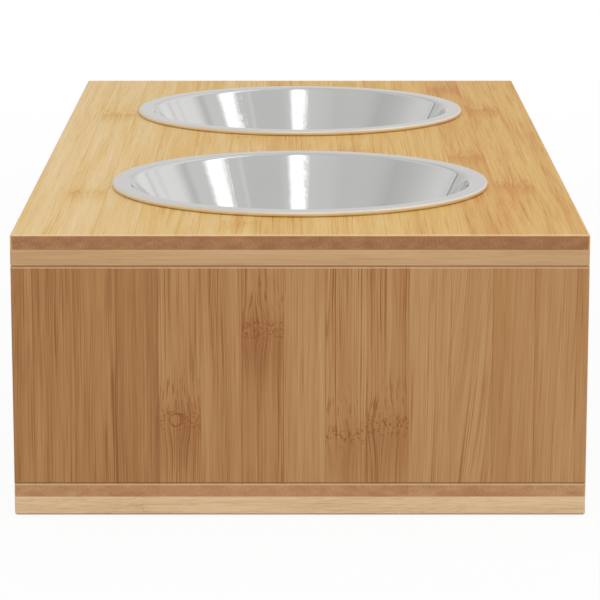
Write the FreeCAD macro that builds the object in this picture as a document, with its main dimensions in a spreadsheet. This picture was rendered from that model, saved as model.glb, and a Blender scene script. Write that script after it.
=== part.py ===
# Elevated dog bowl: a low bamboo stand with two pressed steel bowls that hang in its top.
# X is the stand's width, Y its length and Z is up. The origin is on the floor, under the middle.
# The near end is the one at the low end of Y, and left is the low side of X.
import FreeCAD, Part
import os
import Sketcher

# Lengths in millimetres, the screw head's angle in degrees, and one count.
STAND_SIZES = (
    ("stand_width", 300),
    ("stand_length", 600),
    ("stand_height", 150),
    ("edge_break", 0.8),
    ("top_upper_ply", 8),
    ("top_lower_ply", 9),
    ("base_upper_ply", 7),
    ("base_lower_ply", 10),
    ("end_outer_ply", 8),
    ("end_inner_ply", 9),
)
BOWL_SIZES = (
    ("bowl_toward_middle", 6),
    ("bowl_body_radius", 97),
    ("bowl_depth", 65),
    ("bowl_sheet", 0.7),
    ("wall_flare", 34),
    ("floor_bend", 14),
    ("floor_ledge", 7),
    ("floor_panel_rise", 1.6),
    ("floor_step_run", 3),
    ("floor_step_bend", 2),
    ("mouth_bend", 3),
    ("rim_width", 9),
    ("rim_height", 3),
    ("hem_width", 4.5),
    ("bowl_hole_clearance", 1.5),
)
FASTENER_SIZES = (
    ("fastener_inset", 40),
    ("fasteners_per_joint", 3),
    ("dowel_diameter", 8),
    ("dowel_length", 30),
    ("dowel_in_upper_ply", 2),
    ("dowel_end_break", 1),
    ("dowel_glue_gap", 0.05),
    ("dowel_end_room", 1),
    ("screw_length", 40),
    ("screw_diameter", 4),
    ("screw_head_diameter", 8),
    ("screw_head_edge", 0.4),
    ("screw_head_angle", 90),
    ("screw_tip", 4),
    ("screw_sink", 0.3),
    ("screw_gap", 0.05),
    ("screw_end_room", 0.5),
)
PAD_SIZES = (
    ("pad_diameter", 18),
    ("pad_height", 1.5),
    ("pad_inset", 26),
    ("pad_edge_break", 0.4),
)
MATCH_SIZES = (("same_place", 0.001),)
HALF_TURN = 180
UP = FreeCAD.Vector(0, 0, 1)

# Sums of named sizes that several pieces share.
TOP_PANEL = "(Size.top_upper_ply + Size.top_lower_ply)"
BASE_PANEL = "(Size.base_upper_ply + Size.base_lower_ply)"
END_PANEL = "(Size.end_outer_ply + Size.end_inner_ply)"
END_HEIGHT = "(Size.stand_height - " + TOP_PANEL + " - " + BASE_PANEL + ")"
STAND_TOP = "(Size.pad_height + Size.stand_height)"
BASE_TOP = "(Size.pad_height + " + BASE_PANEL + ")"
BOWL_Y = "(Size.stand_length / 4 - Size.bowl_toward_middle)"
BOWL_HOLE_RADIUS = "(Size.bowl_body_radius + Size.bowl_hole_clearance)"
FASTENER_Y = "(Size.stand_length / 2 - " + END_PANEL + " / 2)"
FASTENER_X = "(Size.fastener_inset - Size.stand_width / 2)"
FASTENER_SPAN = "(Size.stand_width - 2 * Size.fastener_inset)"
DOWEL_HOLE_RADIUS = "(Size.dowel_diameter / 2 + Size.dowel_glue_gap)"
DOWEL_IN_END = "(Size.dowel_length - Size.top_lower_ply - Size.dowel_in_upper_ply)"
SCREW_HOLE_RADIUS = "(Size.screw_diameter / 2 + Size.screw_gap)"
SCREW_IN_END = "(Size.screw_length + Size.screw_sink - " + BASE_PANEL + ")"

doc = FreeCAD.newDocument("ElevatedDogBowl")
sheet = doc.addObject("Spreadsheet::Sheet", "Size")


def fill_sheet(rows):
    for row, (alias, number) in enumerate(rows, start=1):
        sheet.set("A%d" % row, alias)
        sheet.set("B%d" % row, str(number))
        sheet.setAlias("B%d" % row, alias)
    doc.recompute()


def value(expression):
    """The number that an expression of named sizes gives."""
    return float(sheet.evalExpression(expression))


def near(one, other):
    return abs(one - other) < value("Size.same_place")


def new_body(name):
    piece = doc.addObject("PartDesign::Body", name)
    piece.Label = name
    return piece


def sketch_on(piece, role, name, lift=None):
    """A sketch on one of the body's origin planes, raised from it by a named size if one is given."""
    sketch = piece.newObject("Sketcher::SketchObject", name)
    plane = next(p for p in piece.Origin.OriginFeatures if p.Role == role)
    sketch.AttachmentSupport = [(plane, "")]
    sketch.MapMode = "FlatFace"
    if lift:
        sketch.setExpression("AttachmentOffset.Base.z", lift)
    return sketch


def bind(sketch, constraint, expression):
    """Adds a constraint to a sketch and ties its value to an expression."""
    index = sketch.addConstraint(constraint)
    label = "tie_%d" % index
    sketch.renameConstraint(index, label)
    sketch.setExpression("Constraints." + label, expression)


def pin_point(sketch, geometry, end, spot):
    """Ties a point of a sketch to both axes. None in place of an expression puts it on the axis."""
    for kind, axis, expression in zip(("DistanceX", "DistanceY"), (-2, -1), spot):
        if expression is None:
            sketch.addConstraint(Sketcher.Constraint("PointOnObject", geometry, end, axis))
        else:
            tie = Sketcher.Constraint(kind, -1, 1, geometry, end, value(expression))
            bind(sketch, tie, expression)


def vector_of(spot):
    return FreeCAD.Vector(*[value(part) if part else 0 for part in spot], 0)


def draw_outline(sketch, corners, bulges=(), hollows=()):
    """A closed outline through the corners, anticlockwise.

    A side listed in bulges or hollows is a half circle that swells out of the outline or into it.
    Every arc runs anticlockwise, so a hollow one ends where its side begins.
    """
    following = list(corners[1:]) + [corners[0]]
    for side, (first, second) in enumerate(zip(corners, following)):
        start, end = vector_of(first), vector_of(second)
        curve = Part.LineSegment(start, end)
        if side in bulges + hollows:
            circle = Part.Circle((start + end) / 2, UP, (end - start).Length / 2)
            low, high = (end, start) if side in hollows else (start, end)
            curve = Part.ArcOfCircle(circle, circle.parameter(low), circle.parameter(high))
        sketch.addGeometry(curve, False)
    ends = [(2, 1) if side in hollows else (1, 2) for side in range(len(corners))]
    for side, corner in enumerate(corners):
        after = (side + 1) % len(corners)
        sketch.addConstraint(Sketcher.Constraint("Coincident", side, ends[side][1], after, ends[after][0]))
        pin_point(sketch, side, ends[side][0], corner)
        if side in bulges + hollows:
            sketch.addConstraint(Sketcher.Constraint("Vertical", side, 3, side, 1))


def draw_rectangle(sketch, width, length):
    """A rectangle with its middle on the sketch's origin."""
    x, y = width + " / 2", length + " / 2"
    draw_outline(sketch, (("-" + x, "-" + y), (x, "-" + y), (x, y), ("-" + x, y)))


def draw_circles(sketch, spots, radius):
    for spot in spots:
        circle = sketch.addGeometry(Part.Circle(vector_of(spot), UP, value(radius)), False)
        pin_point(sketch, circle, 3, spot)
        bind(sketch, Sketcher.Constraint("Radius", circle, value(radius)), radius)


def pad_up(piece, sketch, name, height):
    pad = piece.newObject("PartDesign::Pad", name)
    pad.Profile = sketch
    pad.setExpression("Length", height)
    doc.recompute()


def add_board(name, width, length, thickness):
    """A board centred on its own origin, with its lower face at zero."""
    board = new_body(name)
    sketch = sketch_on(board, "XY_Plane", name + "_outline")
    draw_rectangle(sketch, width, length)
    pad_up(board, sketch, name + "_board", thickness)
    return board


def add_disc(name, diameter, height):
    """A round pin or disc that stands on its own origin."""
    disc = new_body(name)
    sketch = sketch_on(disc, "XY_Plane", name + "_outline")
    draw_circles(sketch, ((None, None),), diameter + " / 2")
    pad_up(disc, sketch, name + "_disc", height)
    return disc


def must_shrink(piece, volume):
    """Stops the build where a cut has taken nothing away."""
    doc.recompute()
    if piece.Shape.Volume >= volume:
        raise RuntimeError(piece.Name + ": a cut removed nothing")


def cut_round(piece, name, spots, radius, depth=None, lift=None):
    """Round holes down from a raised plane, or up from the lower face. No depth cuts right through."""
    volume = piece.Shape.Volume
    sketch = sketch_on(piece, "XY_Plane", name + "_outline", lift)
    draw_circles(sketch, spots, radius)
    pocket = piece.newObject("PartDesign::Pocket", name)
    pocket.Profile = sketch
    pocket.Reversed = lift is None
    if depth:
        pocket.setExpression("Length", depth)
    else:
        pocket.Type = "ThroughAll"
    must_shrink(piece, volume)
    return pocket


def countersink(piece, name, spots):
    """Screw holes right through a board, sunk for the heads in its lower face."""
    volume = piece.Shape.Volume
    sketch = sketch_on(piece, "XY_Plane", name + "_outline")
    draw_circles(sketch, spots, SCREW_HOLE_RADIUS)
    doc.recompute()
    hole = piece.newObject("PartDesign::Hole", name)
    hole.Profile = sketch
    hole.Reversed = True
    hole.DepthType = "ThroughAll"
    hole.HoleCutType = "Countersink"
    hole.HoleCutCustomValues = True
    hole.setExpression("Diameter", "2 * " + SCREW_HOLE_RADIUS)
    around_head = "2 * (Size.screw_sink + Size.screw_head_edge + Size.screw_gap)"
    hole.setExpression("HoleCutDiameter", "Size.screw_head_diameter + " + around_head)
    hole.setExpression("HoleCutCountersinkAngle", "Size.screw_head_angle")
    must_shrink(piece, volume)
    return hole


def repeat_across(piece, feature):
    """Repeats a fastener hole from the left side to the right, as many times as a joint has fasteners."""
    volume = piece.Shape.Volume
    pattern = piece.newObject("PartDesign::LinearPattern", feature.Name + "_row")
    pattern.Originals = [feature]
    axis = next(a for a in piece.Origin.OriginFeatures if a.Role == "X_Axis")
    pattern.Direction = (axis, [""])
    pattern.setExpression("Length", FASTENER_SPAN)
    pattern.setExpression("Occurrences", "Size.fasteners_per_joint")
    piece.Tip = pattern
    must_shrink(piece, volume)


def drill_row(piece, name, places_y, radius, depth=None, lift=None):
    spots = [(FASTENER_X, y) for y in places_y]
    repeat_across(piece, cut_round(piece, name, spots, radius, depth, lift))


def ease(piece, name, size, picks):
    """Chamfers each edge of a body that one of the tests picks out."""
    base = piece.Tip
    whole = base.Shape.BoundBox
    edges = enumerate(base.Shape.Edges, start=1)
    names = ["Edge%d" % n for n, edge in edges if any(pick(edge.BoundBox, whole) for pick in picks)]
    chamfer = piece.newObject("PartDesign::Chamfer", name)
    chamfer.Base = (base, names)
    chamfer.setExpression("Size", size)
    doc.recompute()


def on_upper_face(edge, whole):
    return near(edge.ZMin, whole.ZMax)


def on_lower_face(edge, whole):
    return near(edge.ZMax, whole.ZMin)


def on_outer_face(edge, whole):
    return near(edge.YMax, whole.YMin)


def is_upright(edge, whole):
    return near(edge.ZLength, whole.ZLength) and near(edge.XLength + edge.YLength, 0)


def is_corner(edge, whole):
    """An upright edge at one of a board's four corners."""
    on_side = near(edge.XMax, whole.XMin) or near(edge.XMin, whole.XMax)
    on_end = near(edge.YMax, whole.YMin) or near(edge.YMin, whole.YMax)
    return is_upright(edge, whole) and on_side and on_end


def is_inner_corner(edge, whole):
    return is_corner(edge, whole) and near(edge.YMin, whole.YMax)


def panel_ply(name, thickness, height):
    """A full-size ply of the top or base panel, at its height in the stand."""
    ply = add_board(name, "Size.stand_width", "Size.stand_length", thickness)
    ply.setExpression("Placement.Base.z", height)
    return ply


def make_top_panel():
    """Two crossed plies with the bowl holes through both and the dowel holes from below."""
    bowls = ((None, "-" + BOWL_Y), (None, BOWL_Y))
    ends = ("-" + FASTENER_Y, FASTENER_Y)
    blind = "Size.dowel_in_upper_ply + Size.dowel_end_room"
    upper = panel_ply("top_upper_ply", "Size.top_upper_ply", STAND_TOP + " - Size.top_upper_ply")
    lower = panel_ply("top_lower_ply", "Size.top_lower_ply", STAND_TOP + " - " + TOP_PANEL)
    for ply, face, depth in ((upper, on_upper_face, blind), (lower, on_lower_face, None)):
        cut_round(ply, ply.Name + "_bowl_holes", bowls, BOWL_HOLE_RADIUS)
        ease(ply, ply.Name + "_eased_edges", "Size.edge_break", (face, is_corner))
        drill_row(ply, ply.Name + "_dowel_holes", ends, DOWEL_HOLE_RADIUS, depth)
    return [upper, lower]


def make_base_panel():
    """Two crossed plies under the end panels, screwed to them from below."""
    ends = ("-" + FASTENER_Y, FASTENER_Y)
    upper = panel_ply("base_upper_ply", "Size.base_upper_ply", "Size.pad_height + Size.base_lower_ply")
    ease(upper, "base_upper_ply_eased_edges", "Size.edge_break", (on_upper_face, is_corner))
    drill_row(upper, "base_upper_ply_screw_holes", ends, SCREW_HOLE_RADIUS)
    lower = panel_ply("base_lower_ply", "Size.base_lower_ply", "Size.pad_height")
    ease(lower, "base_lower_ply_eased_edges", "Size.edge_break", (on_lower_face, is_corner))
    repeat_across(lower, countersink(lower, "base_lower_ply_screw_holes", [(FASTENER_X, y) for y in ends]))
    return [upper, lower]


def make_end_panel(end, turned):
    """An outer ply with upright grain and an inner ply with level grain, glued face to face.

    The dowels and screws run in the panel's middle plane, so both plies share their holes.
    The far panel is the near one turned half round.
    """
    plies = (
        ("outer", "Size.end_outer_ply", "0 * Size.end_outer_ply", on_outer_face, "1"),
        ("inner", "Size.end_inner_ply", "Size.end_outer_ply", is_inner_corner, "-1"),
    )
    made = []
    for layer, thickness, behind, pick, side in plies:
        ply = add_board("%s_end_%s_ply" % (end, layer), "Size.stand_width", thickness, END_HEIGHT)
        middle = "%s * (%s - %s) / 2" % (side, END_PANEL, thickness)
        ease(ply, ply.Name + "_eased_edges", "Size.edge_break", (pick,))
        screw_depth = SCREW_IN_END + " + Size.screw_end_room"
        drill_row(ply, ply.Name + "_screw_holes", (middle,), SCREW_HOLE_RADIUS, screw_depth)
        dowel_depth = DOWEL_IN_END + " + Size.dowel_end_room"
        drill_row(ply, ply.Name + "_dowel_holes", (middle,), DOWEL_HOLE_RADIUS, dowel_depth, END_HEIGHT)
        from_middle = "(Size.stand_length / 2 - %s - %s / 2)" % (behind, thickness)
        if turned:
            ply.Placement.Rotation = FreeCAD.Rotation(UP, HALF_TURN)
        ply.setExpression("Placement.Base.y", from_middle if turned else "-" + from_middle)
        ply.setExpression("Placement.Base.z", BASE_TOP)
        made.append(ply)
    return made


def revolve(piece, name, corners, bulges=(), hollows=()):
    """Turns a half section right round the body's upright axis."""
    sketch = sketch_on(piece, "XZ_Plane", name + "_section")
    draw_outline(sketch, corners, bulges, hollows)
    turned = piece.newObject("PartDesign::Revolution", name)
    turned.Profile = sketch
    turned.ReferenceAxis = (sketch, ["V_Axis"])
    doc.recompute()


def nearest_ring(shape, radius, height):
    """The name of the round edge that lies nearest to a radius and a height."""
    def miss(edge):
        reach = edge.Curve.Radius - value(radius)
        return abs(reach) + abs(edge.Curve.Center.z - value(height))
    edges = enumerate(shape.Edges, start=1)
    rings = [(miss(edge), n) for n, edge in edges if is_ring(edge)]
    return "Edge%d" % min(rings)[1]


def is_ring(edge):
    """A round edge that lies level, about the upright axis."""
    return isinstance(edge.Curve, Part.Circle) and near(edge.BoundBox.ZLength, 0)


def round_off(piece, name, bend, rings):
    base = piece.Tip
    fillet = piece.newObject("PartDesign::Fillet", name)
    fillet.Base = (base, [nearest_ring(base.Shape, radius, height) for radius, height in rings])
    fillet.setExpression("Radius", bend)
    doc.recompute()


def hollow_out(piece, name):
    """Leaves a wall of sheet metal, open at the top."""
    base = piece.Tip
    faces = enumerate(base.Shape.Faces, start=1)
    mouth = [n for n, face in faces if near(face.BoundBox.ZMin, base.Shape.BoundBox.ZMax)]
    shell = piece.newObject("PartDesign::Thickness", name)
    shell.Base = (base, ["Face%d" % mouth[0]])
    shell.setExpression("Value", "Size.bowl_sheet")
    shell.Reversed = True
    must_shrink(piece, base.Shape.Volume)


def make_bowl(name, y):
    """A pressed bowl: a cone with a rounded foot and a raised floor panel, hung by its rim.

    The rim's edge is folded under in an open hem. The bowl's own origin is on the stand's top face,
    on the bowl's axis.
    """
    bowl = new_body(name)
    brim = "Size.rim_height"
    brim_under = "(Size.rim_height - Size.bowl_sheet)"
    floor = "(Size.rim_height - Size.bowl_depth)"
    raised = "(" + floor + " + Size.floor_panel_rise)"
    foot = "(Size.bowl_body_radius - Size.wall_flare)"
    step_outer = "(" + foot + " - Size.floor_bend - Size.floor_ledge)"
    step_inner = "(" + step_outer + " - Size.floor_step_run)"
    wall_inside = "(Size.bowl_body_radius - Size.bowl_sheet)"
    rim_edge = "(Size.bowl_body_radius + Size.rim_width)"
    hem = "(" + rim_edge + " - Size.hem_width)"
    hem_round = "(" + rim_edge + " - Size.rim_height / 2)"
    form = ((None, raised), (step_inner, raised), (step_outer, floor), (foot, floor))
    form += (("Size.bowl_body_radius", brim), (None, brim))
    revolve(bowl, name + "_form", form)
    round_off(bowl, name + "_foot_bend", "Size.floor_bend", [(foot, floor)])
    step = [(step_inner, raised), (step_outer, floor)]
    round_off(bowl, name + "_step_bends", "Size.floor_step_bend", step)
    hollow_out(bowl, name + "_sheet")
    rim = ((wall_inside, brim_under), (hem_round, brim_under), (hem_round, "Size.bowl_sheet"))
    rim += ((hem, "Size.bowl_sheet"), (hem, None), (hem_round, None), (hem_round, brim))
    rim += ((wall_inside, brim),)
    revolve(bowl, name + "_rim", rim, bulges=(5,), hollows=(1,))
    below = [("Size.bowl_body_radius", brim_under)]
    round_off(bowl, name + "_bend_below", "Size.mouth_bend - Size.bowl_sheet", below)
    round_off(bowl, name + "_bend_above", "Size.mouth_bend", [(wall_inside, brim)])
    bowl.setExpression("Placement.Base.y", y)
    bowl.setExpression("Placement.Base.z", STAND_TOP)
    return bowl


def make_dowel(name):
    """A hardwood pin with eased ends, from the end panel up into the top panel."""
    dowel = add_disc(name, "Size.dowel_diameter", "Size.dowel_length")
    ease(dowel, name + "_ends", "Size.dowel_end_break", (on_upper_face, on_lower_face))
    dowel.setExpression("Placement.Base.z", STAND_TOP + " - " + TOP_PANEL + " - " + DOWEL_IN_END)
    return dowel


def make_screw(name):
    """A countersunk wood screw that points up, with its head in the base panel's lower face."""
    screw = new_body(name)
    head = "Size.screw_head_diameter / 2"
    shank = "Size.screw_diameter / 2"
    cone = "(%s - %s) / tan(Size.screw_head_angle / 2)" % (head, shank)
    revolve(screw, name + "_form", (
        (None, None),
        (head, None),
        (head, "Size.screw_head_edge"),
        (shank, "Size.screw_head_edge + " + cone),
        (shank, "Size.screw_length - Size.screw_tip"),
        (None, "Size.screw_length"),
    ))
    screw.setExpression("Placement.Base.z", "Size.pad_height + Size.screw_sink")
    return screw


def make_row(name, y, make_one):
    """Equal fasteners across the width, kept as separate solids in one group."""
    row = doc.addObject("Part::Compound", name)
    row.Label = name
    members = [make_one("%s_%d" % (name, n)) for n in range(int(value("Size.fasteners_per_joint")))]
    for n, member in enumerate(members):
        step = "%d * %s / (Size.fasteners_per_joint - 1)" % (n, FASTENER_SPAN)
        member.setExpression("Placement.Base.x", FASTENER_X + " + " + step)
        member.setExpression("Placement.Base.y", y)
    row.Links = members
    doc.recompute()
    return row


def make_foot_pad(name, side, end):
    """A thin round pad stuck under one corner of the base panel."""
    pad = add_disc(name, "Size.pad_diameter", "Size.pad_height")
    ease(pad, name + "_eased_edge", "Size.pad_edge_break", (on_lower_face,))
    pad.setExpression("Placement.Base.x", side + "(Size.stand_width / 2 - Size.pad_inset)")
    pad.setExpression("Placement.Base.y", end + "(Size.stand_length / 2 - Size.pad_inset)")
    return pad


def make_parts():
    made = make_top_panel() + make_base_panel()
    for end, sign, turned in (("near", "-", False), ("far", "", True)):
        made += make_end_panel(end, turned)
        made.append(make_bowl(end + "_bowl", sign + BOWL_Y))
        made.append(make_row(end + "_dowels", sign + FASTENER_Y, make_dowel))
        made.append(make_row(end + "_screws", sign + FASTENER_Y, make_screw))
        for side, side_sign in (("left", "-"), ("right", "")):
            made.append(make_foot_pad("%s_%s_foot_pad" % (end, side), side_sign, sign))
    doc.recompute()
    return made


def check_document(made):
    """Stops the build where a feature has failed or a piece is not a sound solid."""
    for item in doc.Objects:
        if "Invalid" in item.State or "Error" in item.State:
            raise RuntimeError(item.Name + " failed")
    for part in made:
        if part.Shape.isNull() or not part.Shape.isValid() or not part.Shape.Solids:
            raise RuntimeError(part.Label + " has no sound shape")


def write_parts(made):
    os.makedirs("parts", exist_ok=True)
    for part in made:
        part.Shape.exportStep("parts/" + part.Label + ".step")
        print(part.Label, "solids", len(part.Shape.Solids), "volume", round(part.Shape.Volume))


fill_sheet(STAND_SIZES + BOWL_SIZES + FASTENER_SIZES + PAD_SIZES + MATCH_SIZES)
parts = make_parts()
check_document(parts)
write_parts(parts)
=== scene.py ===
# Elevated dog bowl: a bamboo stand with two polished steel bowls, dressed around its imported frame.
# Lengths are in metres. X is the stand's width, Y its length and Z is up. The near end is at low Y.
import math

import bmesh
import bpy
from mathutils import Matrix, Vector


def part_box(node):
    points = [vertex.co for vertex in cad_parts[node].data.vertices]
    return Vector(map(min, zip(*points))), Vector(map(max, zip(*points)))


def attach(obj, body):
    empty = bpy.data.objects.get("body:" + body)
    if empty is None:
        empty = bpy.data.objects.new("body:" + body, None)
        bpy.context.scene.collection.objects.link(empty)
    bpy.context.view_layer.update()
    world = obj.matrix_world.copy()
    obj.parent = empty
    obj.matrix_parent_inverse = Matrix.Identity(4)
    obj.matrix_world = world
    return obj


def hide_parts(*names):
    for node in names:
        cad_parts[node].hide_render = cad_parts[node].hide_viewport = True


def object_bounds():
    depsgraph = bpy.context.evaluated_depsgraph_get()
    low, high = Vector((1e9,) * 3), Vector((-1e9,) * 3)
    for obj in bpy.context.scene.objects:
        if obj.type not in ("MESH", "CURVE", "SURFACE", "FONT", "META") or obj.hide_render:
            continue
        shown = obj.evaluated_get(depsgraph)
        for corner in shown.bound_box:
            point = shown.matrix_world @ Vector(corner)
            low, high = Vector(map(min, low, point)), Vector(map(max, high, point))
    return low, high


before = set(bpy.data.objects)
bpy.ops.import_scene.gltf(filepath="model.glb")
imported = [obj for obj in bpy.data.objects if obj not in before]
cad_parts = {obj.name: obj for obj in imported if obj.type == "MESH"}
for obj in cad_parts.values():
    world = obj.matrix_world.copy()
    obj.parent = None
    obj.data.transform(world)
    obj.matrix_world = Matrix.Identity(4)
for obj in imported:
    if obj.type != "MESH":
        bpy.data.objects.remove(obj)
cad_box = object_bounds()

MM = 0.001
WHITE = (1.0, 1.0, 1.0, 1.0)


def display(red, green, blue):
    """A colour as it shows on a screen, 0 to 255, in the linear values that a shader takes."""
    shares = [channel / 255 for channel in (red, green, blue)]
    return tuple(((s + 0.055) / 1.055) ** 2.4 if s > 0.04045 else s / 12.92 for s in shares) + (1.0,)


class Shader:
    """One node tree, with short calls that add a node, feed its sockets and give back a result."""

    def __init__(self, tree):
        self.tree = tree
        tree.nodes.clear()

    def add(self, kind, feeds=(), **settings):
        node = self.tree.nodes.new("ShaderNode" + kind)
        for name, setting in settings.items():
            setattr(node, name, setting)
        for socket, feed in dict(feeds).items():
            self.feed(node.inputs[socket], feed)
        return node

    def feed(self, socket, feed):
        if isinstance(feed, bpy.types.NodeSocket):
            self.tree.links.new(feed, socket)
        else:
            socket.default_value = feed

    def calc(self, operation, *terms):
        return self.add("Math", enumerate(terms), operation=operation).outputs[0]

    def times(self, product, *factors):
        for factor in factors:
            product = self.calc("MULTIPLY", product, factor)
        return product

    def gain(self, base, share, amount):
        """Adds an amount to a base value where the share is 1, and less of it where the share is less."""
        return self.calc("MULTIPLY_ADD", share, amount, base)

    def shift(self, base, noise, amount):
        """Raises and lowers a base value by a noise whose middle is a half."""
        return self.gain(base, self.calc("SUBTRACT", noise, 0.5), amount)

    def fade(self, value, start, end):
        """Goes smoothly from 0 where value is start to 1 where it is end."""
        feeds = {"Value": value, "From Min": start, "From Max": end}
        return self.add("MapRange", feeds, interpolation_type="SMOOTHSTEP").outputs["Result"]

    def bell(self, value, width):
        """1 where value is 0, and near 0 once it is two widths away."""
        share = self.calc("DIVIDE", value, width)
        return self.calc("EXPONENT", self.times(share, share, -1.0))

    def distance(self, first, second):
        """How far out a point is, from its distances along two axes."""
        squares = [self.calc("POWER", side, 2.0) for side in (first, second)]
        return self.calc("SQRT", self.calc("ADD", *squares))

    def place(self):
        """A point's place on the object, in metres."""
        return self.add("TexCoord").outputs["Object"]

    def noise(self, point, stretch, detail=2.0, roughness=0.5, distortion=0.0):
        """Noise whose grain is about as large as stretch, in the point's own units along each axis."""
        scale = [1 / length for length in stretch]
        scaled = self.add("VectorMath", {0: point, 1: scale}, operation="MULTIPLY").outputs[0]
        feeds = {"Vector": scaled, "Scale": 1.0, "Detail": detail, "Roughness": roughness,
                 "Distortion": distortion}
        return self.add("TexNoise", feeds).outputs["Fac"]

    def ramp(self, share, stops, interpolation="LINEAR"):
        """A colour ramp through (place, colour) stops."""
        node = self.add("ValToRGB", {0: share})
        node.color_ramp.interpolation = interpolation
        elements = node.color_ramp.elements
        while len(elements) < len(stops):
            elements.new(1.0)
        for element, (place, colour) in zip(elements, stops):
            element.position = place
            element.color = colour
        return node

    def tint(self, tone, colours):
        """The dark, middle and light colour of a tone of 0, a half and 1."""
        return self.ramp(tone, list(zip((0.0, 0.5, 1.0), colours))).outputs[0]

    def mix(self, share, first, second, kind="MIX"):
        """Mixes two colours, which a Mix node takes in its sockets 6 and 7 and gives in its output 2."""
        node = self.add("Mix", {"Factor": share, 6: first, 7: second}, data_type="RGBA", blend_type=kind)
        return node.outputs[2]

    def bump(self, height, distance=1.0, strength=1.0):
        return self.add("Bump", {"Height": height, "Distance": distance, "Strength": strength}).outputs[0]

    def finish(self, colour, roughness, relief, feeds=()):
        """Ends the tree in one solid surface."""
        feeds = {"Base Color": colour, "Roughness": roughness, "Normal": relief, **dict(feeds)}
        self.output("OutputMaterial", self.add("BsdfPrincipled", feeds).outputs[0])

    def output(self, kind, surface):
        self.add(kind, {"Surface": surface})


def new_material(name, maker=Shader, *facts):
    material = bpy.data.materials.new(name)
    material.use_nodes = True
    return material, maker(material.node_tree, *facts)


# One row for each strip of the near end panel, from the left: how light it is, how high its knot lies in
# metres, how strong the knot is, how far the fibres lean, where a half is upright, and how many are dark.
NEAR_END_STRIPS = (
    (0.50, 0.300, 0.0, 0.50, 0.7),
    (0.50, 0.300, 0.0, 0.50, 0.9),
    (0.47, 0.300, 0.0, 0.50, 0.8),
    (0.39, 0.300, 0.0, 0.50, 0.3),
    (0.62, 0.053, 1.0, 0.50, 1.0),
    (0.56, 0.300, 0.0, 0.52, 0.9),
    (0.52, 0.101, 0.9, 0.50, 0.9),
    (0.68, 0.300, 0.0, 0.50, 0.8),
    (0.68, 0.044, 0.8, 0.49, 1.3),
    (0.61, 0.050, 0.9, 0.49, 1.3),
    (0.70, 0.300, 0.0, 0.42, 1.0),
    (0.70, 0.300, 0.0, 0.20, 1.1),
    (0.60, 0.300, 0.0, 0.40, 0.1),
    (0.70, 0.300, 0.0, 0.42, 0.6),
    (0.62, 0.300, 0.0, 0.45, 0.5),
)
# The same for the top face, with the knot's distance from the near end. Its strips grow paler towards the
# left, partly the wood's own tone and partly a painted sheen.
TOP_STRIPS = (
    (0.76, 0.600, 0.0, 0.50, 0.6),
    (0.74, 0.430, 0.8, 0.50, 0.8),
    (0.69, 0.600, 0.0, 0.50, 0.7),
    (0.61, 0.600, 0.0, 0.50, 0.9),
    (0.63, 0.600, 0.0, 0.50, 0.7),
    (0.63, 0.035, 0.6, 0.50, 0.9),
    (0.46, 0.600, 0.0, 0.50, 1.1),
    (0.56, 0.600, 0.0, 0.50, 0.8),
    (0.55, 0.280, 0.5, 0.50, 0.9),
    (0.49, 0.600, 0.0, 0.50, 1.0),
    (0.49, 0.600, 0.0, 0.50, 0.9),
    (0.37, 0.555, 0.8, 0.50, 1.1),
    (0.40, 0.150, 0.8, 0.50, 1.2),
    (0.42, 0.600, 0.0, 0.50, 1.0),
)

# The strips' grid, in which the top's strips start at a place of their own.
STRIP_WIDTH = 21.75 * MM
FIRST_STRIP_EDGE = -160.75 * MM
FIRST_TOP_STRIP_EDGE = -151 * MM
GLUE_LINE = (0.5 * MM, 0.1 * MM)
GLUE_DARKNESS = 0.2

# What strips without a row are like, at the least and at the most.
LOT_LEANS = (0.35, 0.65)
LOT_DARK_SHARES = (0.35, 1.25)
WEAKEST_LOT_KNOT = 0.1

# The course of the fibres. A size is a width and a length. A lean of 1 slopes this much more than one of 0,
# and the fibres of each strip come from another place in the noise.
SWAY_SIZE = (16 * MM, 90 * MM)
SWAY_AMOUNT = 2.5 * MM
LEAN_SLOPE = 0.3
STRIP_JUMP = 1.37

# The tones of the fibres: the size of their pattern, and how much it changes the tone.
BAND_SIZE = (6 * MM, 200 * MM)
BAND_CONTRAST = 0.5
STREAK_SIZE = (0.8 * MM, 130 * MM)
STREAK_CONTRAST = 0.55
FIBRE_SIZE = (0.35 * MM, 28 * MM)
FIBRE_CONTRAST = 0.65
FIBRE_RELIEF = 0.04 * MM

# Dark bundles, veins and hairlines. A range is where a noise goes from bare wood to a full mark. A vein's or
# hairline's darkness is a share of the bundles' own.
BUNDLE_SIZE = (0.38 * MM, 70 * MM)
BUNDLE_RANGE = (0.56, 0.66)
CROWD_SIZE = (7 * MM, 90 * MM)
CROWD_RANGE = (0.34, 0.62)
VEIN_SIZE = (2.5 * MM, 300 * MM)
VEIN_HALF_WIDTH = 0.03
VEIN_LEAST = 0.3
VEIN_DARKNESS = 0.7
HAIRLINE_SIZE = (0.6 * MM, 500 * MM)
HAIRLINE_RANGE = (0.58, 0.66)
HAIRLINE_STRIPS = (1.1, 1.3)
HAIRLINE_ENDS = (-12 * MM, 8 * MM)
HAIRLINE_DARKNESS = 0.8

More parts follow.
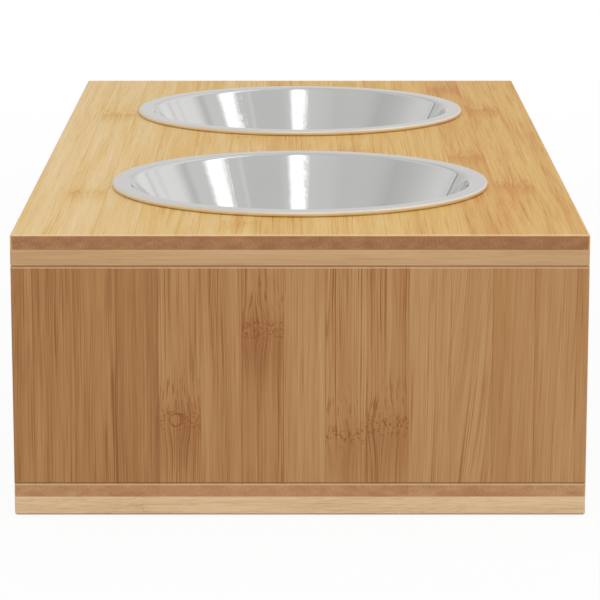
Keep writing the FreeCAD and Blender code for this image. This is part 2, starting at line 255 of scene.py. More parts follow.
# Knots. The fibres part round a knot, which lies in the middle half of its strip. Only the strongest knots
# have an eye, a dark oval ring. Dashes lie past a knot and a stain lies before it.
KNOT_SPACING = 300 * MM
KNOT_FREEDOM = 0.5
KNOT_SIZE = (7 * MM, 12 * MM)
KNOT_PARTING = 0.7
KNOT_DARKNESS = 0.55
SQUIGGLE_SIZE = (1.7 * MM, 2.2 * MM)
SQUIGGLE_CURL = 1.4
SQUIGGLE_RANGE = (0.52, 0.60)
SQUIGGLE_REACH = 5 * MM
EYE_SIZE = (3.0 * MM, 3.4 * MM)
EYE_KNOTS = (0.92, 0.98)
EYE_LINE = 0.16
EYE_EDGE = (0.8, 1.2)
EYE_DARKNESS = 0.55
FAR_FROM_EYE = 5.0
DASH_SIZE = (1.0 * MM, 11 * MM)
DASH_RANGE = (0.55, 0.65)
DASH_PLACE = 15 * MM
DASH_REACH = 11 * MM
DASH_DARKNESS = 0.7
STAIN_PLACE = -10 * MM
STAIN_REACH = 18 * MM
STAIN_DARKNESS = 0.42

# End grain, where a face is cut across the fibres.
END_FACING = (0.75, 0.85)
END_SLANT = -0.35
END_BUNDLE_SIZE = (0.5 * MM, 1.8 * MM, 1.0)
END_BUNDLE_CONTRAST = 0.8
END_CLUMP_SIZE = (9 * MM, 5 * MM, 1.0)
END_CLUMP_CONTRAST = 0.5
END_STRIP_CONTRAST = 0.3

# Eased edges, by how far their faces point up: a painted highlight on those that face up and painted shade
# on those that face down.
EASED_SLOPE = math.sqrt(0.5)
EASED_SPREAD = 0.1
EDGE_LIGHT_SHARE = 0.6
# The colours of the painted edge highlight and of the painted edge shade.
EDGE_HIGHLIGHT = display(240, 207, 166)
EDGE_SHADE = display(120, 80, 46)

# The clear lacquer, and how much rougher the end grain and the pale streaks are.
LACQUER_ROUGHNESS = 0.42
LACQUER_GLOSS = 0.42
END_ROUGHNESS = 0.15
STREAK_ROUGHNESS = 0.15


class BambooStrips(Shader):
    """Bamboo strips, glued side by side. grain names the axes that run across, along and through them."""

    def __init__(self, tree, grain, first_edge, seed):
        super().__init__(tree)
        self.grain = grain
        self.coordinates = self.add("TexCoord").outputs
        axes = self.add("SeparateXYZ", {0: self.coordinates["Object"]}).outputs
        self.across, self.along, self.depth = (axes[axis] for axis in grain)
        count = self.calc("DIVIDE", self.calc("SUBTRACT", self.across, first_edge), STRIP_WIDTH)
        self.strip = self.calc("FLOOR", count)
        self.part = self.calc("FRACT", count)
        lot = self.add("TexWhiteNoise", {"W": self.calc("ADD", self.strip, seed)}, noise_dimensions="1D")
        self.chances = self.add("SeparateColor", {0: lot.outputs["Color"]}).outputs

    def read_rows(self, rows):
        """Takes what each strip is like from its row. Knots of the top are counted from the near end."""
        place = self.calc("DIVIDE", self.calc("ADD", self.strip, 0.5), float(len(rows)))
        starts = [number / len(rows) for number in range(len(rows))]
        facts = [(start, row[:4]) for start, row in zip(starts, rows)]
        dark_shares = [(start, row[4:] * 3 + (1.0,)) for start, row in zip(starts, rows)]
        table = self.ramp(place, facts, "CONSTANT").outputs
        self.strip_tone, self.knot_place, self.knot = self.add("SeparateColor", {0: table[0]}).outputs
        self.lean = table[1]
        self.dark_share = self.ramp(place, dark_shares, "CONSTANT").outputs[0]
        if self.grain[1] == "Y":
            self.knot_place = self.calc("ADD", self.knot_place, cad_box[0][1])

    def draw_lots(self, dark_fibres, spread):
        """Draws what each strip is like by lot."""
        self.strip_tone = self.between(self.chances[0], 0.5 - spread / 2, 0.5 + spread / 2)
        self.knot_place = self.between(self.chances[1], 0.0, KNOT_SPACING)
        self.knot = self.between(self.chances[1], WEAKEST_LOT_KNOT, WEAKEST_LOT_KNOT + 2 * dark_fibres)
        self.lean = self.between(self.chances[2], *LOT_LEANS)
        self.dark_share = self.between(self.chances[1], *LOT_DARK_SHARES)

    def between(self, chance, least, most):
        return self.gain(least, chance, most - least)

    def lay_fibres(self):
        """Measures from the knot, and gives the point where the fibres lean, sway and part round it."""
        middle = self.between(self.chances[2], 0.5 - KNOT_FREEDOM / 2, 0.5 + KNOT_FREEDOM / 2)
        self.aside = self.times(self.calc("SUBTRACT", self.part, middle), STRIP_WIDTH)
        past = self.calc("SUBTRACT", self.along, self.knot_place)
        self.past = self.calc("WRAP", past, KNOT_SPACING / 2, -KNOT_SPACING / 2)
        width, length = SWAY_SIZE
        stretch = [length if axis == self.grain[1] else width for axis in "XYZ"]
        sway = self.noise(self.coordinates["Object"], stretch, detail=1.0)
        fibre = self.shift(self.across, sway, SWAY_AMOUNT)
        slope = self.times(self.calc("SUBTRACT", self.lean, 0.5), LEAN_SLOPE)
        fibre = self.gain(fibre, slope, self.along)
        width, length = KNOT_SIZE
        near = self.times(self.bell(self.aside, width), self.bell(self.past, length), self.knot)
        fibre = self.calc("SUBTRACT", fibre, self.times(self.aside, near, KNOT_PARTING))
        fibre = self.gain(fibre, self.strip, STRIP_JUMP)
        self.point = self.add("CombineXYZ", {0: fibre, 1: self.along, 2: self.depth}).outputs[0]

    def marks(self, size, detail=1.0, roughness=0.5, distortion=0.0):
        """Noise in marks of one width and length along the fibres."""
        width, length = size
        return self.noise(self.point, (width, length, width), detail, roughness, distortion)

    def draw_fibres(self, figure):
        """Bands, streaks and single fibres, which change the strip's own tone."""
        self.streaks = self.marks(STREAK_SIZE, detail=2.0, roughness=0.7)
        self.fibres = self.marks(FIBRE_SIZE, detail=2.0, roughness=0.6)
        self.tone = self.shift(self.strip_tone, self.marks(BAND_SIZE), BAND_CONTRAST)
        self.tone = self.shift(self.tone, self.streaks, STREAK_CONTRAST * figure)
        self.tone = self.shift(self.tone, self.fibres, FIBRE_CONTRAST * figure)

    def darken(self, mark, darkness):
        self.tone = self.gain(self.tone, mark, -darkness)

    def draw_dark_lines(self, darkness):
        """Dark bundles, crowded in some places and missing in others, and long veins. The strips with the
        most dark fibres also have hairlines that end at the knot."""
        bundle = self.fade(self.marks(BUNDLE_SIZE), *BUNDLE_RANGE)
        crowd = self.times(self.fade(self.marks(CROWD_SIZE), *CROWD_RANGE), self.dark_share)
        self.darken(self.times(bundle, crowd), darkness)
        line = self.calc("ABSOLUTE", self.calc("SUBTRACT", self.marks(VEIN_SIZE), 0.5))
        vein = self.times(self.fade(line, VEIN_HALF_WIDTH, 0.0), self.between(crowd, VEIN_LEAST, 1.0))
        self.darken(vein, VEIN_DARKNESS * darkness)
        hairline = self.fade(self.marks(HAIRLINE_SIZE), *HAIRLINE_RANGE)
        in_strip = self.fade(self.dark_share, *HAIRLINE_STRIPS)
        hairline = self.times(hairline, in_strip, self.fade(self.past, *HAIRLINE_ENDS))
        self.darken(hairline, HAIRLINE_DARKNESS * darkness)

    def draw_knots(self):
        """Squiggles in the knot, an eye in its middle, dashes past it and a stain before it."""
        width, length = EYE_SIZE
        reach = self.distance(self.calc("DIVIDE", self.aside, width), self.calc("DIVIDE", self.past, length))
        has_eye = self.fade(self.knot, *EYE_KNOTS)
        eye = self.times(self.bell(self.calc("SUBTRACT", reach, 1.0), EYE_LINE), has_eye)
        beyond = self.gain(self.calc("ADD", reach, FAR_FROM_EYE), has_eye, -FAR_FROM_EYE)
        squiggle = self.marks(SQUIGGLE_SIZE, detail=2.0, distortion=SQUIGGLE_CURL)
        squiggle = self.fade(squiggle, *SQUIGGLE_RANGE)
        squiggle = self.times(squiggle, self.bell(self.past, SQUIGGLE_REACH), self.fade(beyond, *EYE_EDGE))
        dash = self.fade(self.marks(DASH_SIZE), *DASH_RANGE)
        dash = self.times(dash, self.bell(self.calc("SUBTRACT", self.past, DASH_PLACE), DASH_REACH))
        stain = self.bell(self.calc("SUBTRACT", self.past, STAIN_PLACE), STAIN_REACH)
        dark = self.gain(squiggle, dash, DASH_DARKNESS)
        dark = self.gain(dark, eye, EYE_DARKNESS)
        dark = self.gain(dark, stain, STAIN_DARKNESS)
        self.darken(self.times(dark, self.knot), KNOT_DARKNESS)

    def draw_glue_lines(self):
        nearer = self.calc("MINIMUM", self.part, self.calc("SUBTRACT", 1.0, self.part))
        self.darken(self.fade(self.times(nearer, STRIP_WIDTH), *GLUE_LINE), GLUE_DARKNESS)

    def end_grain(self, colours):
        """Cut bundles, crowded in clumps and slanted through the strips' thickness."""
        slanted = self.gain(self.across, self.depth, END_SLANT)
        point = self.add("CombineXYZ", {0: slanted, 1: self.depth}).outputs[0]
        bundles = self.noise(point, END_BUNDLE_SIZE, detail=2.0, roughness=0.6)
        clumps = self.noise(point, END_CLUMP_SIZE, detail=1.0)
        tone = self.shift(0.5, bundles, END_BUNDLE_CONTRAST)
        tone = self.shift(tone, clumps, END_CLUMP_CONTRAST)
        tone = self.shift(tone, self.strip_tone, END_STRIP_CONTRAST)
        return self.tint(tone, colours)

    def paint_edge_light(self, colour, upward):
        """Paints a highlight on the eased edges that face up, and shade on those that face down."""
        for slope, edge_light_colour in ((EASED_SLOPE, EDGE_HIGHLIGHT), (-EASED_SLOPE, EDGE_SHADE)):
            eased = self.bell(self.calc("SUBTRACT", upward, slope), EASED_SPREAD)
            colour = self.mix(self.times(eased, EDGE_LIGHT_SHARE), colour, edge_light_colour)
        return colour


def bamboo(name, grain, colours, end_colours, seed, strips=None, dark_fibres=0.45, spread=0.5, figure=1.0,
           first_edge=FIRST_STRIP_EDGE):
    """Lacquered bamboo strips. spread is how much their tones differ, figure how strong their fibres are."""
    material, wood = new_material(name, BambooStrips, grain, first_edge, seed)
    if strips:
        wood.read_rows(strips)
    else:
        wood.draw_lots(dark_fibres, spread)
    wood.lay_fibres()
    wood.draw_fibres(figure)
    wood.draw_dark_lines(dark_fibres)
    wood.draw_knots()
    wood.draw_glue_lines()
    facing = wood.add("SeparateXYZ", {0: wood.coordinates["Normal"]}).outputs
    is_end = wood.fade(wood.calc("ABSOLUTE", facing[grain[1]]), *END_FACING)
    colour = wood.mix(is_end, wood.tint(wood.tone, colours), wood.end_grain(end_colours))
    # Painted highlight and painted shade on the eased edges, by which way they face.
    colour = wood.paint_edge_light(colour, facing["Z"])
    roughness = wood.gain(LACQUER_ROUGHNESS, is_end, END_ROUGHNESS)
    roughness = wood.gain(roughness, wood.streaks, STREAK_ROUGHNESS)
    height = wood.times(wood.calc("ADD", wood.streaks, wood.fibres), FIBRE_RELIEF)
    wood.finish(colour, roughness, wood.bump(height), {"Specular IOR Level": LACQUER_GLOSS})
    return material


# The polish, with faint clouds in its colour and roughness, and faint waves.
CLOUD_SIZE = (30 * MM,) * 3
WAVE_SIZE = (18 * MM, 18 * MM, 9 * MM)
WAVE_HEIGHT = 0.06 * MM
POLISH_COLOURS = (display(214, 214, 213), display(220, 220, 219))
POLISH_ROUGHNESS = 0.03
CLOUD_ROUGHNESS = 0.04
# How far inside the rim's edge the satin begins, and where it is full.
SATIN_BEGINS = 2.0 * MM
SATIN_FULL = 1.0 * MM
SATIN_COLOUR = display(237, 231, 222)
SATIN_ROUGHNESS = 0.37


def polished_steel():
    """Bright drawn steel with a faint waviness, polished but for the satin outer edge of the rim."""
    material, shader = new_material("polished_bowl_steel")
    point = shader.place()
    cloud = shader.noise(point, CLOUD_SIZE)
    # Distance from the upright axis of the bowl that is on the same side of the stand's middle.
    low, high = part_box("far_bowl")
    axes = shader.add("SeparateXYZ", {0: point}).outputs
    from_axis = shader.calc("SUBTRACT", shader.calc("ABSOLUTE", axes["Y"]), (low.y + high.y) / 2)
    radius = shader.distance(axes["X"], from_axis)
    rim = (high.x - low.x) / 2
    satin = shader.fade(radius, rim - SATIN_BEGINS, rim - SATIN_FULL)
    colour = shader.mix(satin, shader.mix(cloud, *POLISH_COLOURS), SATIN_COLOUR)
    roughness = shader.gain(POLISH_ROUGHNESS, cloud, CLOUD_ROUGHNESS)
    roughness = shader.gain(roughness, satin, SATIN_ROUGHNESS)
    height = shader.times(shader.noise(point, WAVE_SIZE), WAVE_HEIGHT)
    shader.finish(colour, roughness, shader.bump(height), {"Metallic": 1.0})
    return material


SPECK_ROUGHNESS = 0.2


def speckled(name, speck, stops, smoothest, relief, strength, metallic):
    """A plain finish whose fine specks change its colour, roughness and height."""
    material, shader = new_material(name)
    specks = shader.noise(shader.place(), speck, detail=3.0)
    colour = shader.ramp(specks, stops).outputs[0]
    roughness = shader.gain(smoothest, specks, SPECK_ROUGHNESS)
    shader.finish(colour, roughness, shader.bump(specks, relief, strength), {"Metallic": metallic})
    return material


def plain_beech():
    """Pale turned dowel wood with short dark flecks along the grain."""
    stops = ((0.35, display(168, 128, 90)), (0.65, display(206, 172, 130)))
    return speckled("beech_dowel", speck=(0.7 * MM, 0.7 * MM, 6 * MM), stops=stops, smoothest=0.5,
                    relief=0.1 * MM, strength=0.5, metallic=0.0)


def zinc_plate():
    """Zinc on the screws, with a cloudy bloom."""
    stops = ((0.3, display(168, 166, 158)), (0.7, display(202, 202, 198)))
    return speckled("zinc_plated_screw", speck=(2 * MM,) * 3, stops=stops, smoothest=0.25,
                    relief=0.05 * MM, strength=0.5, metallic=1.0)


def soft_rubber():
    """Matt dark rubber with a little dust."""
    stops = ((0.3, display(28, 28, 29)), (0.8, display(52, 51, 50)))
    return speckled("foot_pad_rubber", speck=(0.8 * MM,) * 3, stops=stops, smoothest=0.6,
                    relief=0.1 * MM, strength=0.6, metallic=0.0)


# Points of a mesh that are closer than this are one point, and a cut this close to a point goes through it.
SAME_POINT = 0.01 * MM
CUT_REACH = 0.001 * MM


def new_piece(name, mesh):
    data = bpy.data.meshes.new(name)
    mesh.to_mesh(data)
    mesh.free()
    piece = bpy.data.objects.new(name, data)
    bpy.context.scene.collection.objects.link(piece)
    return piece


def draw_outline(mesh, places):
    """Draws an open wire through (radius, height) places and gives its corners."""
    corners = [mesh.verts.new((radius, 0, height)) for radius, height in places]
    for first, second in zip(corners, corners[1:]):
        mesh.edges.new((first, second))
    return corners


def spin_outline(mesh, steps):
    """Turns the wire once round the upright axis and closes the seam and the poles."""
    bmesh.ops.spin(mesh, geom=mesh.verts[:] + mesh.edges[:], cent=(0, 0, 0), axis=(0, 0, 1),
                   angle=math.tau, steps=steps, use_merge=True)
    bmesh.ops.remove_doubles(mesh, verts=mesh.verts, dist=SAME_POINT)


def round_corner(mesh, corner, bend, segments):
    """Rounds one corner of a wire outline to a bend radius."""
    first, second = [edge.other_vert(corner).co - corner.co for edge in corner.link_edges]
    turn = math.pi - first.angle(second)
    bmesh.ops.bevel(mesh, geom=[corner], offset=bend * math.tan(turn / 2), offset_type="OFFSET",
                    segments=segments, profile=0.5, affect="VERTICES", material=-1)


def hold_bends(mesh, hold):
    """Adds a point near both ends of each long run, so that the shading of a bend ends where it does."""
    for edge in [edge for edge in mesh.edges if edge.calc_length() > 4 * hold]:
        far = edge.verts[1]
        bmesh.utils.edge_split(edge, edge.verts[0], hold / edge.calc_length())
        longer = next(e for e in far.link_edges if e.calc_length() > 2 * hold)
        bmesh.utils.edge_split(longer, far, hold / longer.calc_length())


def smooth_faces(mesh):
    for face in mesh.faces:
        face.smooth = True


BOWL_SHEET = 0.7 * MM
WALL_FLARE = 34 * MM
RIM_WIDTH = 9 * MM
RIM_HEIGHT = 3 * MM
HEM_WIDTH = 4.5 * MM
HEM_BEND = 1.2 * MM
FLOOR_BEND = 14 * MM
FLOOR_LEDGE = 7 * MM
FLOOR_PANEL_RISE = 1.6 * MM
FLOOR_STEP_RUN = 3 * MM
FLOOR_STEP_BEND = 2 * MM
MOUTH_BEND = 3 * MM
BOWL_STEPS = 192
BEND_SEGMENTS = 10
BEND_HOLD = 0.5 * MM


def bowl_outline(low, high):
    """The middle of a bowl's sheet from its axis outwards, as (radius, height, bend) corners."""
    half = BOWL_SHEET / 2
    rim = (high.x - low.x) / 2
    body = rim - RIM_WIDTH
    slope = math.atan2(WALL_FLARE, high.z - low.z)
    inward = half / math.cos(slope)
    floor = low.z + half
    brim = high.z - half
    foot = body - WALL_FLARE + half * math.tan(slope) - inward
    step = body - WALL_FLARE - FLOOR_BEND - FLOOR_LEDGE
    fold = RIM_HEIGHT - BOWL_SHEET
    return (
        (0, floor + FLOOR_PANEL_RISE, 0),
        (step - FLOOR_STEP_RUN, floor + FLOOR_PANEL_RISE, FLOOR_STEP_BEND),
        (step, floor, FLOOR_STEP_BEND),
        (foot, floor, FLOOR_BEND - half),
        (body - half * math.tan(slope) - inward, brim, MOUTH_BEND - half),
        (rim - half, brim, HEM_BEND - half),
        (rim - half, brim - fold, HEM_BEND - half),
        (rim - HEM_WIDTH, brim - fold, 0),
    )


def pressed_bowl(end, steel):
    """A drawn steel bowl in the place of its CAD node, with its rim hemmed under."""
    node = end + "_bowl"
    low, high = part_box(node)
    outline = bowl_outline(low, high)
    mesh = bmesh.new()
    corners = draw_outline(mesh, [(radius, height) for radius, height, bend in outline])
    for corner, (radius, height, bend) in zip(corners, outline):
        if bend:
            round_corner(mesh, corner, bend, BEND_SEGMENTS)
    hold_bends(mesh, BEND_HOLD)
    spin_outline(mesh, BOWL_STEPS)
    bmesh.ops.recalc_face_normals(mesh, faces=mesh.faces)
    bmesh.ops.translate(mesh, verts=mesh.verts, vec=((low.x + high.x) / 2, (low.y + high.y) / 2, 0))
    smooth_faces(mesh)
    bowl = new_piece("pressed_" + node, mesh)
    wall = bowl.modifiers.new("sheet_thickness", "SOLIDIFY")
    wall.thickness = BOWL_SHEET
    wall.offset = 0
    wall.use_even_offset = True
    bowl.data.materials.append(steel)
    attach(bowl, node)
    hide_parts(node)


SCREW_HEAD_RADIUS = 4 * MM
SCREW_HEAD_EDGE = 0.4 * MM
SCREW_SHANK_RADIUS = 2 * MM
SCREW_TIP = 4 * MM
SCREW_STEPS = 48
SCREW_TURN = math.radians(20)
SCREWS_PER_END = 3
SHARP_EDGE = math.radians(30)
RECESS_WIDTH = 1.5 * MM
RECESS_SPAN = 4.8 * MM
RECESS_DEPTH = 2.2 * MM
RECESS_TAPER = 0.55


def cut_cross_recess(mesh):
    """Sinks a tapered cross into the screw head's flat face, which lies at height 0 and faces down."""
    def flat_faces():
        return [face for face in mesh.faces if all(abs(vert.co.z) < SAME_POINT for vert in face.verts)]

    for across in (Vector((1, 0, 0)), Vector((0, 1, 0))):
        for reach in (-RECESS_SPAN, -RECESS_WIDTH, RECESS_WIDTH, RECESS_SPAN):
            faces = flat_faces()
            edges = {edge for face in faces for edge in face.edges}
            verts = {vert for face in faces for vert in face.verts}
            bmesh.ops.bisect_plane(mesh, geom=faces + list(edges) + list(verts), dist=CUT_REACH,
                                   plane_co=across * (reach / 2), plane_no=across)
    arms = []
    for face in flat_faces():
        middle = face.calc_center_median()
        shorter, longer = sorted((abs(middle.x), abs(middle.y)))
        if shorter < RECESS_WIDTH / 2 and longer < RECESS_SPAN / 2:
            arms.append(face)
    sunk = bmesh.ops.extrude_face_region(mesh, geom=arms)["geom"]
    sunk = [part for part in sunk if isinstance(part, bmesh.types.BMVert)]
    bmesh.ops.delete(mesh, geom=arms, context="FACES")
    bmesh.ops.scale(mesh, verts=sunk, vec=(RECESS_TAPER, RECESS_TAPER, 1))
    bmesh.ops.translate(mesh, verts=sunk, vec=(0, 0, RECESS_DEPTH))


def turn_screw(mesh, length):
    """One countersunk screw on the upright axis, with its head's flat face at height 0 and its tip up."""
    draw_outline(mesh, (
        (SCREW_HEAD_RADIUS, 0),
        (SCREW_HEAD_RADIUS, SCREW_HEAD_EDGE),
        (SCREW_SHANK_RADIUS, SCREW_HEAD_EDGE + SCREW_HEAD_RADIUS - SCREW_SHANK_RADIUS),
        (SCREW_SHANK_RADIUS, length - SCREW_TIP),
        (0, length),
    ))
    spin_outline(mesh, SCREW_STEPS)
    bmesh.ops.contextual_create(mesh, geom=[edge for edge in mesh.edges if edge.is_boundary])
    bmesh.ops.recalc_face_normals(mesh, faces=mesh.faces)
    cut_cross_recess(mesh)
    turned = Matrix.Rotation(SCREW_TURN, 3, "Z")
    bmesh.ops.rotate(mesh, verts=mesh.verts, cent=(0, 0, 0), matrix=turned)
    smooth_faces(mesh)
    for edge in mesh.edges:
        edge.smooth = edge.calc_face_angle(math.pi) < SHARP_EDGE


def wood_screws(end, zinc):
    """A row of countersunk screws under one end of the base, in the place of their CAD node."""
    node = end + "_screws"
    low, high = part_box(node)
    mesh = bmesh.new()
    turn_screw(mesh, high.z - low.z)
    first = (low.x + SCREW_HEAD_RADIUS, (low.y + high.y) / 2, low.z)
    bmesh.ops.translate(mesh, verts=mesh.verts, vec=first)
    one = mesh.verts[:] + mesh.edges[:] + mesh.faces[:]
    step = (high.x - low.x - 2 * SCREW_HEAD_RADIUS) / (SCREWS_PER_END - 1)
    for count in range(1, SCREWS_PER_END):
        copy = bmesh.ops.duplicate(mesh, geom=one)["geom"]
        copied = [part for part in copy if isinstance(part, bmesh.types.BMVert)]
        bmesh.ops.translate(mesh, verts=copied, vec=(count * step, 0, 0))
    screws = new_piece(end + "_wood_screws", mesh)
    screws.data.materials.append(zinc)
    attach(screws, "stand")
    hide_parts(node)


def dress_nodes(material, *nodes):
    for node in nodes:
        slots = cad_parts[node].data.materials
        slots.clear()
        slots.append(material)


# The dark, middle and light colour of the wood in each kind of place.
HONEY = (display(146, 88, 38), display(182, 131, 78), display(204, 163, 112))
GOLDEN = (display(197, 124, 26), display(222, 179, 95), display(240, 213, 165))
PALE = (display(170, 122, 78), display(204, 163, 116), display(226, 190, 146))
STRAW = (display(199, 161, 116), display(234, 203, 160), display(247, 225, 189))
BROWN_ENDS = (display(124, 76, 45), display(166, 115, 74), display(204, 156, 112))
TAN_ENDS = (display(147, 98, 60), display(192, 143, 98), display(219, 177, 131))


def dress_stand():
    """Gives every ply, dowel and pad of the stand its own finish."""
    near_end = bamboo("bamboo_near_end", "XZY", HONEY, BROWN_ENDS, seed=3, strips=NEAR_END_STRIPS)
    dress_nodes(near_end, "near_end_outer_ply")
    dress_nodes(bamboo("bamboo_upright", "XZY", HONEY, BROWN_ENDS, seed=40), "far_end_outer_ply")
    top = bamboo("bamboo_top", "XYZ", GOLDEN, BROWN_ENDS, seed=7, strips=TOP_STRIPS, dark_fibres=0.35,
                 figure=0.7, first_edge=FIRST_TOP_STRIP_EDGE)
    dress_nodes(top, "top_upper_ply")
    crosswise = bamboo("bamboo_crosswise", "YXZ", PALE, BROWN_ENDS, seed=120, dark_fibres=0.15, spread=0.1)
    dress_nodes(crosswise, "top_lower_ply")
    dress_nodes(bamboo("bamboo_lengthwise", "XYZ", PALE, TAN_ENDS, seed=80), "base_upper_ply")
    base = bamboo("bamboo_base", "YXZ", STRAW, TAN_ENDS, seed=200, dark_fibres=0.15, spread=0.1)
    dress_nodes(base, "base_lower_ply")
    ends = ("near", "far")
    level = bamboo("bamboo_level", "ZXY", HONEY, BROWN_ENDS, seed=160)
    dress_nodes(level, *[end + "_end_inner_ply" for end in ends])
    dress_nodes(plain_beech(), *[end + "_dowels" for end in ends])
    pads = ["%s_%s_foot_pad" % (end, side) for end in ends for side in ("left", "right")]
    dress_nodes(soft_rubber(), *pads)


STUDIO_FLOOR_RADIUS = 12.0
STUDIO_FLOOR_SIDES = 64
STUDIO_FLOOR_COLOUR = display(246, 246, 245)
# How much of the floor near the stand shows as plain white and not as lit floor, so that its shadow stays
# faint, and how far from the middle the shadow begins to fade and is gone.
FLOOR_GLOW = 0.93
SHADOW_REACH = 0.5
SHADOW_END = 3 * SHADOW_REACH


def lay_floor():
    """A pale floor that shows white to the camera and keeps the shadow close to the stand."""
    mesh = bmesh.new()
    bmesh.ops.create_circle(mesh, cap_ends=True, segments=STUDIO_FLOOR_SIDES, radius=STUDIO_FLOOR_RADIUS)
    floor = new_piece("studio_floor", mesh)
    material, shader = new_material("pale_studio_floor")
    distance = shader.add("VectorMath", {0: shader.place()}, operation="LENGTH").outputs["Value"]
    far = shader.fade(distance, SHADOW_REACH, SHADOW_END)
    rays = shader.add("LightPath").outputs
    seen = shader.calc("MAXIMUM", rays["Is Camera Ray"], rays["Is Glossy Ray"])
    seen = shader.calc("MAXIMUM", seen, rays["Is Transmission Ray"])
    glow = shader.times(seen, shader.gain(FLOOR_GLOW, far, 1 - FLOOR_GLOW))
    matt = shader.add("BsdfDiffuse", {"Color": STUDIO_FLOOR_COLOUR}).outputs[0]
    white = shader.add("Emission", {"Color": WHITE, "Strength": 1.0}).outputs[0]
    shader.output("OutputMaterial", shader.add("MixShader", {0: glow, 1: matt, 2: white}).outputs[0])
    floor.data.materials.append(material)


# The room that the polished steel mirrors, in degrees: turns from the near side towards the right, and
# rises from level. A pair says where something begins and where it is full.
ROOM_TONE = 0.70
ROOM_CLOUD_SIZE = (30, 30, 30)
ROOM_CLOUD_CONTRAST = 0.05
# Two tall windows, by where each begins and ends. Leaves fray the side where they begin, and make it patchy.
# These two sides are counted from there.
MIRRORED_WINDOWS = ((-6.0, 8.6), (63.6, 79.6))
WINDOW_FOOT = (6, 12)
WINDOW_HEAD = (72, 66)
WINDOW_EDGE = 3.6
LEAF_SIZE = (3.0, 0.2, 1.0)
LEAF_FRAY = 24.0
FRAYED_SIDE = (-0.5, 1.5)
PATCHY_SIDE = (9.0, 1.0)
PATCH_TONE = 0.6
PATCH_CONTRAST = 4.0
# Walls, by where each begins, is full, begins to fade and ends, and how much lighter it is.
MIRRORED_WALLS = (
    (-143.5, -141.5, -128.0, -100.0, 0.12),
    (-42.0, -24.0, 11.0, 20.0, 0.055),
    (46.0, 56.0, 60.0, 66.0, 0.025),
    (80.0, 82.0, 92.0, 100.0, 0.07),
    (98.5, 110.5, 146.0, 166.0, 0.25),
)
# Narrow stripes, by the middle and half width of each, and how much lighter it is.
MIRRORED_STRIPES = (
    (-148.0, 5.0, -0.05),
    (-142.2, 1.0, -0.45),
    (-137.5, 3.0, -0.06),
    (-86.5, 15.0, -0.083),
    (-81.5, 3.0, -0.02),
    (-10.0, 8.0, 0.02),
    (50.7, 1.6, 0.085),
    (97.5, 3.0, -0.06),
    (125.0, 2.6, -0.07),
    (137.0, 2.6, -0.14),
)
# The far side is a little lighter. Low down it is creamy, and the near side is warm. Both sides are counted
# by how far they are turned from the near side, to the left or to the right.
FAR_SIDE = (155, 172)
FAR_SIDE_LIFT = 0.06
FAR_SIDE_LOW = (24, 14)
FAR_SIDE_CREAM = (0.98, 0.96, 0.94, 1.0)
NEAR_SIDE = (112, 96)
NEAR_SIDE_LOW = (24, 10)
NEAR_SIDE_WARMTH = (1.0, 0.80, 0.58, 1.0)


def mirrored_room(shader):
    """The colour of the plain room with two tall windows that the polished steel mirrors."""
    direction = shader.add("SeparateXYZ", {0: shader.add("TexCoord").outputs["Generated"]}).outputs
    turn = shader.calc("ARCTAN2", direction["X"], shader.times(direction["Y"], -1.0))
    turn = shader.calc("DIVIDE", turn, math.radians(1))
    rise = shader.calc("DIVIDE", shader.calc("ARCSINE", direction["Z"]), math.radians(1))
    either_way = shader.calc("ABSOLUTE", turn)
    point = shader.add("CombineXYZ", {0: turn, 1: rise}).outputs[0]
    clouds = shader.noise(point, ROOM_CLOUD_SIZE, detail=1.0)
    tone = shader.shift(ROOM_TONE, clouds, ROOM_CLOUD_CONTRAST)
    for middle, width, amount in MIRRORED_STRIPES:
        tone = shader.gain(tone, shader.bell(shader.calc("SUBTRACT", turn, middle), width), amount)
    for start, full, falling, end, amount in MIRRORED_WALLS:
        wall = shader.times(shader.fade(turn, start, full), shader.fade(turn, end, falling))
        tone = shader.gain(tone, wall, amount)
    far_side = shader.fade(either_way, *FAR_SIDE)
    tone = shader.gain(tone, far_side, FAR_SIDE_LIFT)
    leaves = shader.noise(point, LEAF_SIZE, detail=3.0)
    tall = shader.times(shader.fade(rise, *WINDOW_FOOT), shader.fade(rise, *WINDOW_HEAD))
    for low, high in MIRRORED_WINDOWS:
        frayed = shader.shift(turn, leaves, LEAF_FRAY)
        frayed = shader.fade(frayed, *[low + degrees for degrees in FRAYED_SIDE])
        soft = shader.fade(turn, high + WINDOW_EDGE, high - WINDOW_EDGE)
        patchy = shader.fade(turn, *[low + degrees for degrees in PATCHY_SIDE])
        patches = shader.times(shader.calc("SUBTRACT", leaves, PATCH_TONE), patchy)
        glow = shader.gain(1.0, patches, PATCH_CONTRAST)
        tone = shader.gain(tone, shader.times(frayed, soft, tall), glow)
    near_low = shader.times(shader.fade(rise, *NEAR_SIDE_LOW), shader.fade(either_way, *NEAR_SIDE))
    colour = shader.mix(near_low, tone, NEAR_SIDE_WARMTH)
    far_low = shader.times(shader.fade(rise, *FAR_SIDE_LOW), far_side)
    return shader.mix(far_low, colour, FAR_SIDE_CREAM, "MULTIPLY")


ROOM_LIGHT = 0.55
# Name, turn from the near side towards the right, height angle, distance, width, height, radiance.
SOFTBOXES = (
    ("softbox_behind_camera", 0.5, 34, 2.6, 0.78, 0.9, 3.0),
    ("softbox_at_right", 68, 28, 2.6, 0.85, 1.0, 3.0),
    ("overhead_softbox", 0, 86, 2.2, 2.0, 2.0, 1.1),
)


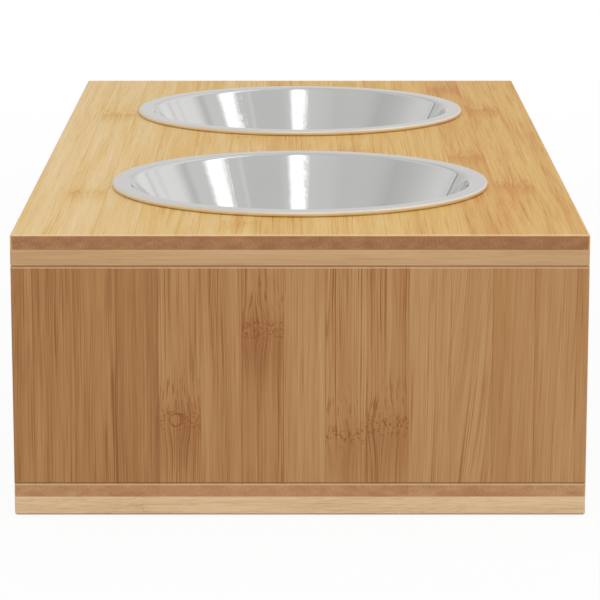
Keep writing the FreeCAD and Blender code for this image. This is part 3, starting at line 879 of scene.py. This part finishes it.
def light_studio():
    """White all round for the camera, soft room light, the room in the steel, and the softboxes."""
    world = bpy.data.worlds.new("studio")
    bpy.context.scene.world = world
    world.use_nodes = True
    shader = Shader(world.node_tree)
    room = shader.add("Background", {"Color": WHITE, "Strength": ROOM_LIGHT}).outputs[0]
    mirrored = shader.add("Background", {"Color": mirrored_room(shader), "Strength": 1.0}).outputs[0]
    white = shader.add("Background", {"Color": WHITE, "Strength": 1.0}).outputs[0]
    rays = shader.add("LightPath").outputs
    seen = shader.calc("MAXIMUM", rays["Is Camera Ray"], rays["Is Transmission Ray"])
    lit = shader.add("MixShader", {0: rays["Is Glossy Ray"], 1: room, 2: mirrored}).outputs[0]
    shader.output("OutputWorld", shader.add("MixShader", {0: seen, 1: lit, 2: white}).outputs[0])
    for softbox in SOFTBOXES:
        add_softbox(*softbox)


def add_softbox(name, turn, rise, distance, width, height, radiance):
    """A soft rectangular lamp that faces the stand. Its power follows from how bright its face is."""
    lamp = bpy.data.lights.new(name, "AREA")
    lamp.shape = "RECTANGLE"
    lamp.size = width
    lamp.size_y = height
    lamp.energy = radiance * math.pi * width * height
    holder = bpy.data.objects.new(name, lamp)
    turn, rise = math.radians(turn), math.radians(rise)
    flat = distance * math.cos(rise)
    place = Vector((flat * math.sin(turn), -flat * math.cos(turn), distance * math.sin(rise)))
    holder.location = place
    holder.rotation_euler = place.to_track_quat("Z", "Y").to_euler()
    holder.visible_camera = False
    holder.visible_glossy = False
    bpy.context.scene.collection.objects.link(holder)


# The photo's viewpoint, in line with the stand's middle and above its near end. Without its tilt, the camera
# looks straight down.
CAMERA_PLACE = (0, -1.8552, 0.4391)
CAMERA_TILT = math.radians(78.30)
CAMERA_SENSOR = 36
CAMERA_LENS = 183.73


def add_camera():
    data = bpy.data.cameras.new("camera")
    data.sensor_width = CAMERA_SENSOR
    data.lens = CAMERA_LENS
    camera = bpy.data.objects.new("camera", data)
    camera.location = CAMERA_PLACE
    camera.rotation_euler = (CAMERA_TILT, 0, 0)
    bpy.context.scene.collection.objects.link(camera)
    bpy.context.scene.camera = camera


dress_stand()
bowl_steel = polished_steel()
screw_zinc = zinc_plate()
for end in ("near", "far"):
    pressed_bowl(end, bowl_steel)
    wood_screws(end, screw_zinc)
lay_floor()
light_studio()
add_camera()
bpy.context.scene.view_settings.view_transform = "Standard"
